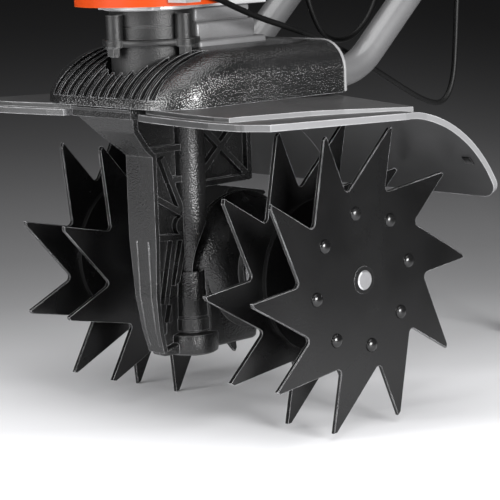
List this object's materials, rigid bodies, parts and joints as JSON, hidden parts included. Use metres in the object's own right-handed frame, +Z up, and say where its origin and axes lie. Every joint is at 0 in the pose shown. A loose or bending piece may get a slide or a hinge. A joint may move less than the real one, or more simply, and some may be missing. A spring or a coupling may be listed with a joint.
{
  "type": "walk-behind lawn scarifier",
  "caption": "Compact petrol lawn scarifier: star-disc rotor under fenders, vertical engine on a worm-gear column, a folding handle and a kickstand.",
  "frame": {"origin": "centre of the footprint on the floor, under the machine's middle plane", "axes": "+X forward towards the rotor's front, +Y to the machine's left, +Z up"},
  "size_m": [1.142, 0.464, 0.967],
  "materials": {
    "disc_steel": "semi-gloss black paint",
    "rotor_steel": "satin black paint",
    "bright_steel": "turned, bare",
    "case_paint": "satin dark grey paint on a casting",
    "fender_plastic": "grained dark grey",
    "hood_plastic": "fine-grained black",
    "cast_aluminium": "as cast",
    "plate_metal": "pale, satin",
    "orange_paint": "gloss orange",
    "black_plastic": "satin black",
    "muffler_steel": "heat-dulled",
    "tank_plastic": "satin dark",
    "handle_metal": "satin silver-grey",
    "stand_paint": "satin dark grey",
    "grip_rubber": "matt",
    "cable_sheath": "satin black",
    "bracket_steel": "zinc plated"
  },
  "bodies": {
    "chassis": {"air_filter": "black_plastic", "bearing_cover_left": "bright_steel", "bearing_cover_right": "bright_steel", "blower_cover": "orange_paint", "cable_stop_left": "bracket_steel", "cable_stop_rear": "bracket_steel", "carburetor": "cast_aluminium", "column_housing": "case_paint", "crankcase": "cast_aluminium", "cylinder": "cast_aluminium", "drive_cable": "cable_sheath", "engine_plate": "plate_metal", "fender_left": "fender_plastic", "fender_lip_left": "fender_plastic", "fender_lip_right": "fender_plastic", "fender_right": "fender_plastic", "fuel_cap": "black_plastic", "fuel_tank": "tank_plastic", "hood": "hood_plastic", "lower_tube_left": "handle_metal", "lower_tube_right": "handle_metal", "mount_plate": "case_paint", "muffler": "muffler_steel", "stand_crossbar": "handle_metal", "starter_grille": "black_plastic", "throttle_cable": "cable_sheath", "tube_cradle": "case_paint", "valve_cover": "cast_aluminium", "worm_gearcase": "case_paint"},
    "rotor": {"axle": "bright_steel", "hub_pin_left": "bright_steel", "hub_pin_right": "bright_steel", "rotor_hub_left": "rotor_steel", "rotor_hub_right": "rotor_steel", "star_disc_left_inner": "disc_steel", "star_disc_left_outer": "disc_steel", "star_disc_right_inner": "disc_steel", "star_disc_right_outer": "disc_steel"},
    "upper_handle": {"drive_cable_upper": "cable_sheath", "drive_lever": "black_plastic", "fold_knob_left": "black_plastic", "fold_knob_right": "black_plastic", "grip_left": "grip_rubber", "grip_right": "grip_rubber", "handle_crossbar": "handle_metal", "handle_tube_left": "handle_metal", "handle_tube_right": "handle_metal", "lever_mount_left": "black_plastic", "lever_mount_right": "black_plastic", "throttle_cable_upper": "cable_sheath", "throttle_lever": "black_plastic"},
    "kickstand": {"kickstand": "stand_paint"}
  },
  "joints": [
    {"name": "rotor_spin", "type": "hinge", "parent": "chassis", "child": "rotor", "pos_m": [0.404, 0, 0.125], "axis": [0, 1, 0], "continuous": true},
    {"name": "handle_fold", "type": "hinge", "parent": "chassis", "child": "upper_handle", "pos_m": [-0.046, 0, 0.61305], "axis": [0, 1, 0], "range_deg": [0, 130]},
    {"name": "stand_fold", "type": "hinge", "parent": "chassis", "child": "kickstand", "pos_m": [0.004, 0, 0.56943], "axis": [0, 1, 0], "range_deg": [0, 100]}
  ]
}
